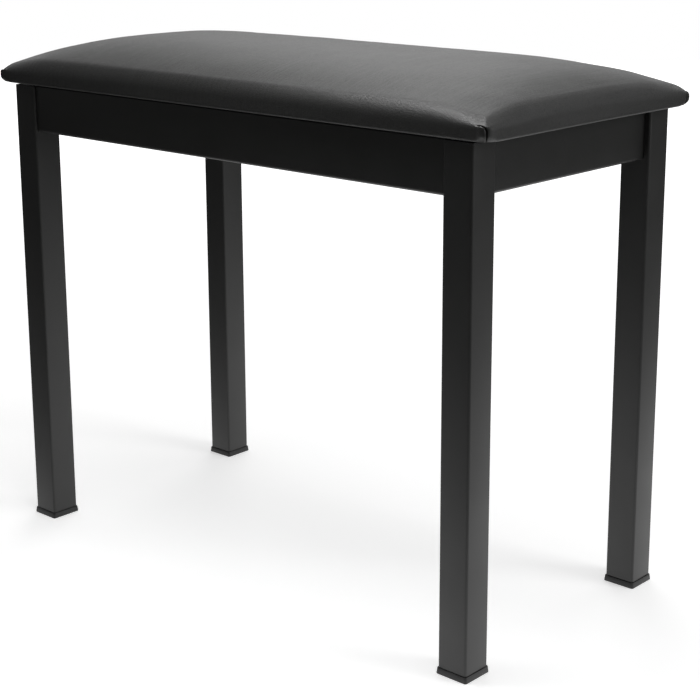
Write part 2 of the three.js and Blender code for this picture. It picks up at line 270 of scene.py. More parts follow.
def wall(piece, thickness):
    """Gives sheet metal its wall, inward, and as thick at the bends."""
    modify(piece, "SOLIDIFY", thickness=thickness, offset=-1, use_even_offset=True)
    settle(piece)


def cut_out(piece, bm):
    """Cuts a mesh out of a piece."""
    cutter = object_of("cutter", bm)
    modify(piece, "BOOLEAN", object=cutter, solver="EXACT")
    settle(piece)
    bpy.data.objects.remove(cutter)


def drill(piece, *holes):
    """Drills round holes. Each is a radius, a start and an end."""
    bm = bmesh.new()
    for radius, start, end in holes:
        way = Vector(end) - Vector(start)
        middle = Matrix.Translation((Vector(start) + Vector(end)) / 2)
        turn = way.to_track_quat("Z", "Y").to_matrix().to_4x4()
        bmesh.ops.create_cone(
            bm, cap_ends=True, segments=32, radius1=radius, radius2=radius,
            depth=way.length, matrix=middle @ turn,
        )
    cut_out(piece, bm)
    piece.data.set_sharp_from_angle(angle=math.radians(32))


def ease(piece, width):
    """Breaks the sharp edges by a small width."""
    limit = math.radians(50)
    modify(piece, "BEVEL", width=width, segments=2, limit_method="ANGLE", angle_limit=limit)


for corner, (side_x, side_y) in corners.items():
    low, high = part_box(f"{corner}_leg_tube")
    bm = box_mesh(low, high)
    rounded(bm, upright(bm), tube_corner, 6)
    ends = [face for face in bm.faces if abs(face.normal.z) > 0.9]
    bmesh.ops.delete(bm, geom=ends, context="FACES_ONLY")
    tube = show(f"{corner}_tube", bm, f"{corner}_leg", "leg_paint", f"{corner}_leg_tube")
    wall(tube, tube_wall)
    middle = Vector(((low.x + high.x) / 2, (low.y + high.y) / 2, stud_height))
    inward = Vector((-side_x, -side_y, 0)).normalized()
    drill(tube, (stud_hole, middle, middle + inward * hole_run))
    ease(tube, edge_break)

# Foot caps. A moulded plastic cap closes each tube at the floor: a tapered flange a little wider
# than the tube, hollow underneath, with a sleeve pressed up into the tube.
cap_flange = 5.7 * mm
cap_taper = 0.6 * mm
floor_round, cap_round = 0.5 * mm, 0.4 * mm
sole_rim, sole_depth = 3 * mm, 1.2 * mm
sleeve_gap, sleeve_lap = 0.3 * mm, 1 * mm
sleeve_wall = 2 * mm

colours = ((0.012, 0.012, 0.012), (0.05, 0.05, 0.049))
grained("foot_plastic", 0.4, 0.5 * mm, (0.3, 0.06 * mm), (0.42, 0.6), colours, Radius=0.7 * mm)


def height_of(face):
    return face.calc_center_median().z


def sunk(bm, face, rim, depth):
    """Sinks the middle of an upward face by a depth, inside a rim. A negative depth lifts it."""
    bmesh.ops.inset_region(bm, faces=[face], thickness=rim, use_even_offset=True)
    bmesh.ops.translate(bm, vec=(0, 0, -depth), verts=face.verts)


def sleeve(bm, corner, low, high):
    """Adds a square sleeve that fits in a corner's tube, open at its top, to a mesh."""
    tube_low, tube_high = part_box(f"{corner}_leg_tube")
    middle = (tube_low + tube_high) / 2
    width = tube_high.x - tube_low.x - 2 * (tube_wall + sleeve_gap)
    made = bmesh.ops.create_cube(bm, size=1)["verts"]
    bmesh.ops.scale(bm, vec=(width, width, high - low), verts=made)
    bmesh.ops.translate(bm, vec=(middle.x, middle.y, (low + high) / 2), verts=made)
    top = max((face for vert in made for face in vert.link_faces), key=height_of)
    sunk(bm, top, sleeve_wall, high - low - sleeve_wall)


for corner in corners:
    low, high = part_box(f"{corner}_foot_cap")
    middle = (low + high) / 2
    bm = box_mesh(low, (high.x, high.y, cap_flange))
    for vert in bm.verts:
        if vert.co.z > 0:
            for axis in (0, 1):
                vert.co[axis] -= math.copysign(cap_taper, vert.co[axis] - middle[axis])
    rounded(bm, upright(bm), tube_corner, 5)
    rims = [edge for edge in bm.edges if all(v.co.z < cap_flange / 4 for v in edge.verts)]
    rounded(bm, rims, floor_round, 2)
    tops = [edge for edge in bm.edges if all(v.co.z > cap_flange * 0.9 for v in edge.verts)]
    rounded(bm, tops, cap_round, 2)
    sunk(bm, min(bm.faces, key=height_of), sole_rim, -sole_depth)
    sleeve(bm, corner, cap_flange - sleeve_lap, high.z)
    show(f"{corner}_foot", bm, f"{corner}_leg", "foot_plastic", f"{corner}_foot_cap")

# Leg plugs. A flat moulded plug closes the tube's top end, flush with its faces.
plug_gap = 0.1 * mm
dish_rim, dish_depth = 4 * mm, 0.4 * mm
colours = ((0.014, 0.014, 0.014), (0.035, 0.034, 0.032))
grained("plug_plastic", 0.4, 0.4 * mm, (0.25, 0.05 * mm), (0.38, 0.55), colours, dust)

for corner in corners:
    low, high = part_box(f"{corner}_leg_plug")
    tube_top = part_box(f"{corner}_leg_tube")[1].z
    bm = box_mesh((low.x, low.y, tube_top + plug_gap), high)
    rounded(bm, upright(bm), tube_corner, 5)
    tops = [edge for edge in bm.edges if all(v.co.z > high.z - plug_gap for v in edge.verts)]
    rounded(bm, tops, cap_round, 2)
    sunk(bm, max(bm.faces, key=height_of), dish_rim, dish_depth)
    sleeve(bm, corner, low.z, tube_top + sleeve_lap / 2)
    show(f"{corner}_plug", bm, f"{corner}_leg", "plug_plastic", f"{corner}_leg_plug")

# Aprons. Each side of the seat frame is a steel channel folded from sheet, with its open side
# inward. The seat is screwed down through the top flange. Painted with the frame.
apron_wall = 1.5 * mm
apron_bend = 3 * mm
apron_flange = 14 * mm
screw_hole = 2.2 * mm
hole_over, hole_length = 5 * mm, 15 * mm
powder_coat("frame_paint", (0.009, 0.0092, 0.0086), (0.03, 0.03, 0.031), 0.4)

# Each side's name, the way its outer face looks, and the way along it.
sides = {
    "front": (Vector((0, -1, 0)), Vector((1, 0, 0))),
    "right": (Vector((1, 0, 0)), Vector((0, 1, 0))),
    "back": (Vector((0, 1, 0)), Vector((1, 0, 0))),
    "left": (Vector((-1, 0, 0)), Vector((0, 1, 0))),
}


def line_mesh(points):
    """A mesh of edges only, along a line of points."""
    bm = bmesh.new()
    verts = [bm.verts.new(point) for point in points]
    for pair in zip(verts, verts[1:]):
        bm.edges.new(pair)
    return bm


def verts_of(made):
    """The points among what an operation made."""
    return [part for part in made["geom"] if isinstance(part, bmesh.types.BMVert)]


def folded(points, way, bend, segments, outside):
    """Sheet metal folded along a line of points and drawn out along a way, facing the outside."""
    bm = line_mesh(points)
    drawn = bmesh.ops.extrude_edge_only(bm, edges=bm.edges[:])
    bmesh.ops.translate(bm, vec=way, verts=verts_of(drawn))
    rounded(bm, [edge for edge in bm.edges if len(edge.link_faces) == 2], bend, segments)
    bmesh.ops.recalc_face_normals(bm, faces=bm.faces)
    if max(bm.faces, key=lambda face: face.calc_area()).normal.dot(outside) < 0:
        bmesh.ops.reverse_faces(bm, faces=bm.faces)
    return bm


for side, (outward, run) in sides.items():
    low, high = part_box(f"{side}_apron")
    middle = (low + high) / 2
    length = (high - low).dot(run)
    depth = abs((high - low).dot(outward))
    face = middle + outward * depth / 2
    start = face - run * length / 2
    under, over = (Vector((0, 0, z - middle.z)) for z in (low.z, high.z))
    lip = outward * apron_flange
    line = [start - lip + under, start + under, start + over, start - lip + over]
    bm = folded(line, run * length, apron_bend, 6, outward)
    channel = show(
        f"{side}_channel", bm, "seat_frame", "frame_paint", f"{side}_apron", closed=False
    )
    wall(channel, apron_wall)
    holes = []
    for end in (1, 2):
        screw = sum(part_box(f"{side}_seat_screw_{end}"), Vector()) / 2
        top = Vector((screw.x, screw.y, high.z + hole_over))
        holes.append((screw_hole, top - Vector((0, 0, hole_length)), top))
    drill(channel, *holes)
    ease(channel, edge_break)

# Corner brackets. A bent steel plate stands across each corner, its ends welded to the aprons.
# The stud of the leg passes through it. It is painted together with the frame.
bracket_wall = 2 * mm
bracket_bend = 4 * mm
bracket_break = 0.3 * mm
bracket_gap = 8 * mm
bracket_flange = 18 * mm
flange_run = bracket_flange / math.sqrt(2)
apron_gap = 0.3 * mm
apron_reach = {"long": 26 * mm, "short": 22.5 * mm}  # from the leg's inner edge out to each apron


def at_stud(corner):
    """The place of a corner's stud: X runs inward along it from the leg's inner edge."""
    side_x, side_y = corners[corner]
    low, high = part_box(f"{corner}_leg_tube")
    edge_x = low.x if side_x > 0 else high.x
    edge_y = low.y if side_y > 0 else high.y
    turn = Matrix.Rotation(math.atan2(-side_y, -side_x), 4, "Z")
    return Matrix.Translation((edge_x, edge_y, stud_height)) @ turn


def bends_of(corner):
    """How far to the left and the right of its stud a corner's bracket bends."""
    side_x, side_y = corners[corner]
    ends = ("long", "short") if side_x * side_y < 0 else ("short", "long")
    return [(apron_reach[end] - apron_gap) * math.sqrt(2) + bracket_gap for end in ends]


for corner in corners:
    place = at_stud(corner)
    low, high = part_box(f"{corner}_bracket")
    left, right = bends_of(corner)
    base = low.z - stud_height
    line = [
        place @ Vector(point) for point in (
            (bracket_gap + flange_run, left + flange_run, base),
            (bracket_gap, left, base),
            (bracket_gap, -right, base),
            (bracket_gap + flange_run, -right - flange_run, base),
        )
    ]
    to_leg = place.to_3x3() @ Vector((-1, 0, 0))
    bm = folded(line, Vector((0, 0, high.z - low.z)), bracket_bend, 6, to_leg)
    bracket = show(
        f"{corner}_plate", bm, "seat_frame", "frame_paint", f"{corner}_bracket", closed=False
    )
    wall(bracket, bracket_wall)
    drill(bracket, (stud_hole, place @ Vector(), place @ Vector((hole_run / 2, 0, 0))))
    ease(bracket, bracket_break)

# Welds. A short bead runs up the free edge of each bracket flange, onto the apron's inside face.
weld_radius = 1.6 * mm
weld_sunk = 0.5 * mm
weld_short = 3 * mm  # at each end of the bead
bead_step = 1.3 * mm
for corner in corners:
    low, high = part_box(f"{corner}_bracket")
    bm = bmesh.new()
    for bend, side in zip(bends_of(corner), (1, -1)):
        out = side * (bend + flange_run - weld_sunk)
        for step in range(int((high.z - low.z - 2 * weld_short) / bead_step)):
            up = low.z - stud_height + weld_short + step * bead_step
            seat = Vector((bracket_gap + flange_run + apron_gap, out, up))
            ripple = Matrix.Translation(at_stud(corner) @ seat)
            bmesh.ops.create_icosphere(bm, subdivisions=2, radius=weld_radius, matrix=ripple)
    show(f"{corner}_weld", bm, "seat_frame", "frame_paint", sharp=60)

# Stud anchors. A wedge inside the tube's corner that the stud's head pulls against, zinc plated.
# It can't be seen once the leg is closed, so the plain CAD part stays.


def plating(name, colour, dull, roughness):
    """Bright zinc plate: pale metal with a faint cloudy stain, duller in blotches."""
    tree, shader, place = new_finish(name, Metallic=1.0)
    grain = use(tree, speckle, {"Place": place, "Size": 0.35 * mm})
    cloud = add(tree, "TexNoise", {"Vector": place, "Scale": 190.0, "Detail": 5.0})
    colour_by(tree, shader, cloud.outputs["Fac"], colour, dull)
    roughness_by(tree, shader, cloud.outputs["Fac"], roughness - 0.1, roughness + 0.12)
    bump(tree, shader, grain["Height"], 0.2, 0.02 * mm)


plating("fixing_zinc", (0.55, 0.56, 0.58), (0.36, 0.36, 0.37), 0.34)


def dress(node, slot):
    """Gives a plain CAD part its finish."""
    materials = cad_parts[node].data.materials
    materials.clear()
    materials.append(finishes[slot])


for corner in corners:
    dress(f"{corner}_stud_anchor", "fixing_zinc")

# Studs. A hexagon-headed M6 screw stands out of each leg along the corner's diagonal. Its thread
# is cut over the part that shows.
thread_radius = 2.9 * mm
thread_root = 2.4 * mm
thread_pitch = 1 * mm
turn_steps = 14
stud_reach = 28 * mm
head_radius = 5.8 * mm
head_from, head_to = -18.85 * mm, -13.85 * mm


def spun(profile, weld, **settings):
    """Turns a line of (along, radius) points about the X axis."""
    bm = line_mesh([(along, 0, radius) for along, radius in profile])
    bmesh.ops.spin(bm, geom=bm.verts[:] + bm.edges[:], cent=(0, 0, 0), axis=(1, 0, 0), **settings)
    bmesh.ops.remove_doubles(bm, verts=bm.verts, dist=weld)
    return bm


def round_bar(profile, steps=24):
    """A bar turned once round."""
    return spun(profile, 0.0005 * mm, angle=math.tau, steps=steps, use_merge=True)


def put(bm, place):
    """Moves a mesh from the origin to its place."""
    bmesh.ops.transform(bm, matrix=place, verts=bm.verts)


def join(bm, other):
    """Adds another mesh to a mesh."""
    part = bpy.data.meshes.new("part")
    other.to_mesh(part)
    other.free()
    bm.from_mesh(part)
    bpy.data.meshes.remove(part)


for corner in corners:
    core = round_bar([
        (head_to - 0.1 * mm, 0), (head_to - 0.1 * mm, thread_root), (0, thread_root),
        (stud_reach - 1.6 * mm, thread_root), (stud_reach - 0.4 * mm, 1.7 * mm),
        (stud_reach, 1.4 * mm), (stud_reach, 0),
    ])
    threads = int((stud_reach - 2 * mm) / thread_pitch)
    ridge = [
        (0, thread_root - 0.05 * mm), (thread_pitch * 0.42, thread_radius),
        (thread_pitch * 0.58, thread_radius), (thread_pitch, thread_root - 0.05 * mm),
    ]
    bm = spun(
        ridge, 0.02 * mm, dvec=(thread_pitch / turn_steps, 0, 0), angle=math.tau * threads,
        steps=turn_steps * threads, use_merge=False,
    )
    middle = Matrix.Translation(((head_from + head_to) / 2, 0, 0))
    head = bmesh.ops.create_cone(
        bm, cap_ends=True, segments=6, radius1=head_radius, radius2=head_radius,
        depth=head_to - head_from, matrix=middle @ Matrix.Rotation(math.pi / 2, 4, "Y"),
    )["verts"]
    rims = {edge for vert in head for edge in vert.link_edges}
    rounded(bm, list(rims), 0.4 * mm, 2)
    join(bm, core)
    put(bm, at_stud(corner))
    show(f"{corner}_stud", bm, f"{corner}_leg", "fixing_zinc", f"{corner}_leg_stud", sharp=40)

# Washers. A pressed plain washer lies between each bracket and its nut: a flat ring whose edge is
# rounded on the punched side.
washer_radius = 7 * mm
washer_bore = 3.25 * mm
washer_from, washer_to = 10.3 * mm, 11.5 * mm
for corner in corners:
    bm = round_bar([
        (washer_from, washer_bore), (washer_from, washer_radius - 0.15 * mm),
        (washer_from + 0.15 * mm, washer_radius), (washer_to - 0.4 * mm, washer_radius),
        (washer_to - 0.1 * mm, washer_radius - 0.15 * mm), (washer_to, washer_radius - 0.45 * mm),
        (washer_to, washer_bore + 0.25 * mm), (washer_to - 0.25 * mm, washer_bore),
        (washer_from, washer_bore),
    ], steps=40)
    put(bm, at_stud(corner))
    show(f"{corner}_ring", bm, f"{corner}_washer", "fixing_zinc", f"{corner}_washer")

# Wing nuts. Die-cast zinc: a round hub that narrows away from the washer, with two thick ears that
# blend into it. Each is turned by hand to draw its leg in.
nut_from = 11.8 * mm
nut_height = 8 * mm
nut_base, nut_top = 6.5 * mm, 5 * mm
wing_reach = 14 * mm
wing_tip = 3.6 * mm
wing_half = 1.3 * mm
wing_rise = 5 * mm
bore_from, bore_to = 5 * mm, 25 * mm
cast_fine = 0.45 * mm


def mesh_of(made):
    """The mesh of an object, which goes."""
    mesh = made.data.copy()
    bpy.data.objects.remove(made)
    return mesh


def wing_nut_mesh():
    """The nut at the stud's place: hub and ears grown together, then smoothed as a casting is."""
    hub = round_bar([
        (nut_from, 0), (nut_from, nut_base - 0.4 * mm), (nut_from + 0.4 * mm, nut_base),
        (nut_from + 1.6 * mm, nut_base), (nut_from + 2.2 * mm, nut_base - 0.6 * mm),
        (nut_from + nut_height - 0.5 * mm, nut_top), (nut_from + nut_height, nut_top - 0.5 * mm),
        (nut_from + nut_height, 0),
    ], steps=32)
    middle = nut_from + nut_height / 2
    tip = wing_reach - wing_tip
    for side in (-1, 1):
        ear = bmesh.ops.create_circle(
            hub, cap_ends=True, segments=28, radius=wing_tip,
            matrix=Matrix.Translation((middle + wing_rise, side * tip, -wing_half)),
        )["verts"]
        for vert in ear:
            if side * vert.co.y < tip:
                share = (tip - side * vert.co.y) / wing_tip
                lean = (vert.co.x - middle - wing_rise) * 0.1
                vert.co.x += (lean - wing_rise * 0.95) * share
                vert.co.y = side * (tip - share * (tip - 1 * mm))
        grown = bmesh.ops.extrude_face_region(hub, geom=ear[0].link_faces[:])
        bmesh.ops.translate(hub, vec=(0, 0, 2 * wing_half), verts=verts_of(grown))
    bmesh.ops.recalc_face_normals(hub, faces=hub.faces)
    cast = object_of("nut", hub)
    modify(cast, "REMESH", mode="VOXEL", voxel_size=cast_fine)
    modify(cast, "SMOOTH", iterations=3)
    settle(cast)
    drill(cast, (washer_bore, (bore_from, 0, 0), (bore_to, 0, 0)))
    return mesh_of(cast)


nut_mesh = wing_nut_mesh()
for corner in corners:
    bm = bmesh.new()
    bm.from_mesh(nut_mesh)
    put(bm, at_stud(corner))
    body = f"{corner}_wing_nut"
    show(f"{corner}_nut", bm, body, "fixing_zinc", f"{corner}_wing_nut", sharp=50)

# Seat screws. Eight pan-headed wood screws go up through the aprons into the board, two to a side.
# Their heads have a cross recess.
screw_head, screw_deep = 4.2 * mm, 2.4 * mm
screw_shank, screw_point = 1.9 * mm, 3 * mm
recess_half, recess_wide, recess_narrow = 2.3 * mm, 0.9 * mm, 0.45
recess_from, recess_to = -5 * mm, -1 * mm
plating("screw_zinc", (0.5, 0.47, 0.36), (0.34, 0.31, 0.24), 0.36)


def rotate(bm, angle, axis):
    """Turns a mesh about an axis through the origin."""
    turn = Matrix.Rotation(angle, 3, axis)
    bmesh.ops.rotate(bm, cent=(0, 0, 0), matrix=turn, verts=bm.verts)


def screw_mesh():
    """A screw that stands on the origin by the underside of its head."""
    low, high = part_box("front_seat_screw_1")
    top = high.z - low.z - screw_deep
    bm = round_bar([
        (-screw_deep, 0), (-screw_deep, screw_head * 0.45), (-screw_deep * 0.86, screw_head * 0.72),
        (-screw_deep * 0.5, screw_head * 0.95), (-screw_deep * 0.2, screw_head), (0, screw_head),
        (0, screw_shank), (top - screw_point, screw_shank), (top, 0),
    ], steps=28)
    rotate(bm, -math.pi / 2, "Y")
    bmesh.ops.recalc_face_normals(bm, faces=bm.faces)
    screw = object_of("screw", bm)
    for turn in (0, math.pi / 2):
        size = Vector((recess_half, recess_wide / 2, 0))
        recess = box_mesh(Vector((0, 0, recess_from)) - size, Vector((0, 0, recess_to)) + size)
        for vert in recess.verts:
            if vert.co.z > recess_from / 2:
                vert.co.x *= recess_narrow
        rotate(recess, turn, "Z")
        cut_out(screw, recess)
    return mesh_of(screw)


driven = screw_mesh()
for index, side in enumerate(sides):
    for end in (1, 2):
        node = f"{side}_seat_screw_{end}"
        low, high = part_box(node)
        bm = bmesh.new()
        bm.from_mesh(driven)
        turn = Matrix.Rotation(0.7 + 1.9 * index + 2.3 * end, 4, "Z")
        middle = (low + high) / 2
        seat = Matrix.Translation((middle.x, middle.y, low.z + screw_deep))
        put(bm, seat @ turn)
        show(f"{side}_screw_{end}", bm, "seat_frame", "screw_zinc", node)

# Seat board. Pressed wood chips, sawn to size. The foam lies on it and the cover goes round it.
tree, shader, place = new_finish("seat_board", Roughness=0.85, Specular_IOR_Level=0.25)
chip = add(tree, "TexVoronoi", {"Vector": place, "Scale": 260.0, "Randomness": 1.0})
shade = add(tree, "SeparateColor", {0: chip.outputs["Color"]}).outputs[0]
colour_by(tree, shader, shade, (0.42, 0.27, 0.14), (0.22, 0.13, 0.06))
bump(tree, shader, chip.outputs["Distance"], 0.4, 0.2 * mm)
dress("seat_board", "seat_board")

# Seat cover. One piece of black vinyl, drawn over the foam, folded round the corners and turned
# under the board all round. The foam swells it into a long flat crown that falls at its ends.
cover_low, cover_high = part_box("seat_cover")
half_x = (cover_high.x - cover_low.x) / 2
half_y = (cover_high.y - cover_low.y) / 2
cover_under = cover_low.z
rim_height = 22 * mm
rim_round = 12 * mm
lower_round = 2.4 * mm
plan_corner = 7 * mm
corner_run = 10 * mm  # how much of the rim's inner line goes round each corner
side_pull = 2 * mm
crown_rise = 24 * mm
crown_power = (7, 2.7)
window_x, window_y = 263 * mm, 118.5 * mm
vinyl_thickness = 1 * mm
grid_steps = (90, 44)
turned_under = 3
crowding = 0.55  # how much closer the grid's lines stand near the corners


def crown_at(x, y):
    """How high the crown rises at a place, over its edge."""
    along = 1 - min(abs(x) / half_x, 1) ** crown_power[0]
    across = 1 - min(abs(y) / half_y, 1) ** crown_power[1]
    return crown_rise * along * across


def rim_point(x, y, inset):
    """Where a point of the crown's edge lies on the outline that is drawn in by an inset."""
    inner = Vector((half_x - rim_round, half_y - rim_round))
    size = Vector((abs(x), abs(y)))
    on_end = inner.x - size.x < inner.y - size.y
    along = max(inner.y - size.y if on_end else inner.x - size.x, 0)
    radius = max(plan_corner - inset, 0.3 * mm)
    centre = Vector((half_x - inset - radius, half_y - inset - radius))
    if along < corner_run:
        turned = (1 - along / corner_run) * math.pi / 4
        angle = turned if on_end else math.pi / 2 - turned
        place = centre + radius * Vector((math.cos(angle), math.sin(angle)))
    elif on_end:
        share = (inner.y - along) / (inner.y - corner_run)
        place = Vector((half_x - inset, centre.y * share))
    else:
        share = (inner.x - along) / (inner.x - corner_run)
        place = Vector((centre.x * share, half_y - inset))
    return Vector((math.copysign(place.x, x), math.copysign(place.y, y)))


def drawn_in(point, amount):
    """Draws a side in between its corners."""
    if abs(point.x) / half_x > abs(point.y) / half_y:
        pulled = amount * math.cos(point.y / half_y * math.pi / 2) ** 2
        return Vector((point.x - math.copysign(pulled, point.x), point.y))
    pulled = amount * math.cos(point.x / half_x * math.pi / 2) ** 2
    return Vector((point.x, point.y - math.copysign(pulled, point.y)))


def seat_sheet(rise):
    """The vinyl as one sheet: the crown, the rim, its lower edge and the part turned under."""
    bm = bmesh.new()
    bmesh.ops.create_grid(bm, x_segments=grid_steps[0], y_segments=grid_steps[1], size=1)
    top = cover_under + rim_height
    for vert in bm.verts:
        for axis, half in ((0, half_x - rim_round), (1, half_y - rim_round)):
            share = vert.co[axis]
            vert.co[axis] = half * (share + crowding * math.sin(math.pi * share) / math.pi)
        vert.co.z = top + rise * crown_at(vert.co.x, vert.co.y)
    edges = [edge for edge in bm.edges if edge.is_boundary]
    first = {vert for edge in edges for vert in edge.verts}
    anchors = {vert: vert.co.xy.copy() for vert in first}
    for vert in bm.verts:
        outward = max(abs(vert.co.x) / half_x, abs(vert.co.y) / half_y)
        vert.co.x, vert.co.y = drawn_in(vert.co.xy, side_pull * outward ** 3)
    shoulder = top - rim_round
    rings = []  # each an inset, a height, a pull, and if it is crowned, or None if turned under
    for step in range(1, 7):
        angle = math.pi / 2 * step / 6
        height = shoulder + rim_round * math.cos(angle)
        rings.append((rim_round * (1 - math.sin(angle)), height, side_pull, True))
    low_from = cover_under + lower_round
    for step in range(1, 5):
        share = step / 4
        height = shoulder + (low_from - shoulder) * share
        rings.append((0, height, side_pull * (1 - share / 2), False))
    for step in range(1, 5):
        angle = math.pi / 2 * step / 4
        inset = lower_round * (1 - math.cos(angle))
        rings.append((inset, low_from - lower_round * math.sin(angle), side_pull / 2, False))
    for step in range(1, turned_under + 1):
        rings.append((step / turned_under, cover_under, 0, None))
    for inset, height, pull, crowned in rings:
        drawn = bmesh.ops.extrude_edge_only(bm, edges=edges)
        edges = [edge for edge in bm.edges if edge.is_boundary]
        moved = {}
        for vert in verts_of(drawn):
            beside = (edge.other_vert(vert) for edge in vert.link_edges)
            anchor = moved[vert] = next(anchors[other] for other in beside if other in anchors)
            if crowned is None:
                outer = drawn_in(rim_point(*anchor, lower_round), side_pull / 2)
                inner_x = max(-window_x, min(window_x, outer.x))
                inner_y = max(-window_y, min(window_y, outer.y))
                flat = outer.lerp(Vector((inner_x, inner_y)), inset)
            else:
                flat = drawn_in(rim_point(*anchor, inset), pull)
            raised = rise * crown_at(*flat) if crowned else 0
            vert.co = (flat.x, flat.y, height + raised)
        anchors = moved
    return bm


# Grain pressed into the vinyl: small pebbles with fine creases between them, and streaks where
# the sheet was drawn down over the edge.
leather, given, made = effect("leather", {"Cell": mm}, ["Height", "Crease", "Streak"])
per_cell = reckon(leather, "DIVIDE", 1, given["Cell"])
drift = add(leather, "TexNoise", {"Vector": given["Place"], "Scale": per_cell, "Detail": 1.0})
drift = drift.outputs["Color"]
shifted = add(leather, "VectorMath", {0: drift, 1: (0.5, 0.5, 0.5)}, operation="SUBTRACT")
by_cell = {0: shifted.outputs[0], "Scale": given["Cell"]}
small = add(leather, "VectorMath", by_cell, operation="SCALE").outputs[0]
warped = add(leather, "VectorMath", {0: given["Place"], 1: small}, operation="ADD").outputs[0]
cells = {"Vector": warped, "Scale": per_cell}
from_edge = add(leather, "TexVoronoi", cells, feature="DISTANCE_TO_EDGE").outputs["Distance"]
raised = ranged(leather, from_edge, 0, 0.28, interpolation_type="SMOOTHSTEP")
hollow = ranged(leather, from_edge, 0.1, 0)
drawn = add(leather, "Mapping", {"Vector": given["Place"], "Scale": (400.0, 14.0, 14.0)})
lines = add(leather, "TexNoise", {"Vector": drawn.outputs["Vector"], "Scale": 1.0, "Detail": 3.0})
leather.links.new(raised, made["Height"])
leather.links.new(hollow, made["Crease"])
leather.links.new(lines.outputs["Fac"], made["Streak"])

tree, shader, place = new_finish("seat_vinyl", Specular_IOR_Level=0.5)
grain = use(tree, leather, {"Place": place, "Cell": 1.6 * mm})
# The colour goes darker in the grain's creases: painted shade, where the hollows between the
# pebbles would fall in shadow.
colour_by(tree, shader, grain["Crease"], (0.0125, 0.0127, 0.0119), (0.006, 0.006, 0.0057))
rough_mask = reckon(tree, "ADD", reckon(tree, "MULTIPLY", grain["Streak"], 0.7), grain["Crease"])
dull = ranged(tree, rough_mask, 0, 1, 0.4, 0.55)
taut = add(tree, "Attribute", attribute_name="taut").outputs["Fac"]
polished = reckon(tree, "MULTIPLY_ADD", taut, -0.24, dull)  # smoother where it is stretched
tree.links.new(polished, shader.inputs["Roughness"])
relief = reckon(tree, "MULTIPLY_ADD", grain["Streak"], 3.2, grain["Height"])
bump(tree, shader, relief, 0.6, 0.11 * mm)

swell_cap = 5 * mm
swell_start = 0.9  # the share of the crown that the sheet starts with
corner_drop, drop_reach = 6 * mm, 60 * mm
fold_out, slit_depth, slit_wide = 1.9 * mm, 3.4 * mm, 0.9 * mm
# How far round its corner, towards the end, each fold's edge stands.
fold_at = {(1, -1): -1.5 * mm, (1, 1): 2.5 * mm, (-1, -1): 0.5 * mm, (-1, 1): -0.5 * mm}
low_tuck, tuck_reach, tuck_height = 2.8 * mm, 16 * mm, 7 * mm
fold_taper = 11 * mm
curl_from, curl_radius = 9 * mm, 4.5 * mm


def swell(piece, held, cap, pressure=4, steps=20):
    """Blows a sheet up as stuffing does, with some points held, and limits how far any moves."""
    group = piece.vertex_groups.new(name="held")
    group.add(held, 1, "REPLACE")
    start = np.array([vert.co for vert in piece.data.vertices])
    cloth = piece.modifiers.new("swell", "CLOTH")
    cloth.settings.quality = 5
    cloth.settings.mass = 0.3
    cloth.settings.use_pressure = True
    cloth.settings.uniform_pressure_force = pressure
    cloth.settings.effector_weights.gravity = 0
    cloth.settings.vertex_group_mass = group.name
    cloth.collision_settings.use_collision = False
    cloth.point_cache.frame_end = steps
    for step in range(1, steps + 1):
        scene.frame_set(step)
    settle(piece)
    scene.frame_set(1)
    moved = np.array([vert.co for vert in piece.data.vertices]) - start
    far = np.linalg.norm(moved, axis=1, keepdims=True)
    kept = start + moved * np.minimum(1, cap / np.maximum(far, 1e-9))
    piece.data.vertices.foreach_set("co", kept.ravel())
    piece.data.update()
    piece.vertex_groups.clear()


def ease_step(value, low, high):
    share = min(max((value - low) / (high - low), 0), 1)
    return share * share * (3 - 2 * share)


def from_corner(point):
    """How far a point is from its corner of the cover, in plan."""
    return math.hypot(half_x - abs(point.x), half_y - abs(point.y))


def by_corner(point):
    """How far a point of the cover is past its corner's fold, towards the end, and how far up."""
    end_x, end_y = half_x - abs(point.x), half_y - abs(point.y)
    edge_at = fold_at[(-1 if point.x < 0 else 1, -1 if point.y < 0 else 1)]
    return end_y - end_x - edge_at, point.z - cover_under + max(min(end_x, end_y), 0)


def fold_depth(turned, up):
    """How far the corner's fold lifts or sinks the cover."""
    past = max(turned, up - curl_from - curl_radius)
    curl = Vector((max(turned + curl_radius, 0), max(up - curl_from, 0)))
    if curl.x > 0 and curl.y > 0:
        past = curl.length - curl_radius
    fade = ease_step(turned, -fold_taper, -2 * mm) * ease_step(up, 0.8 * mm, 5.5 * mm)
    if past < 0:
        rounded_edge = math.sqrt(1 - (1 + past / mm) ** 2) if past > -mm else 1
        return fold_out * fade * rounded_edge
    tuck = slit_depth * math.exp(-((past - 0.5 * slit_wide) / slit_wide) ** 2)
    pull = 0.8 * mm * math.exp(-past / (5 * mm))
    return -(tuck + pull) * fade


def tautness(turned, up):
    """Where the fold stretches the vinyl smooth, along its upper edge."""
    along = (turned + 6 * mm) / (7 * mm)
    across = (up - curl_from - curl_radius + mm) / (4 * mm)
    return math.exp(-along ** 2 - across ** 2)


cover = show(
    "padded_cover", seat_sheet(swell_start), "seat_frame", "seat_vinyl", "seat_cover",
    sharp=180, closed=False,
)
if cover.data.polygons[0].normal.z < 0:
    cover.data.flip_normals()
held = [v.index for v in cover.data.vertices if v.co.z < cover_under + lower_round + 2 * mm]
swell(cover, held, swell_cap)
peak = max(v.co.z for v in cover.data.vertices)
rim_top = cover_under + rim_height
for vert in cover.data.vertices:
    if vert.co.z > rim_top:
        vert.co.z = rim_top + (vert.co.z - rim_top) * (cover_high.z - rim_top) / (peak - rim_top)
    up = ease_step(vert.co.z, rim_top - rim_round, rim_top)
    vert.co.z -= corner_drop * max(1 - from_corner(vert.co) / drop_reach, 0) ** 1.5 * up

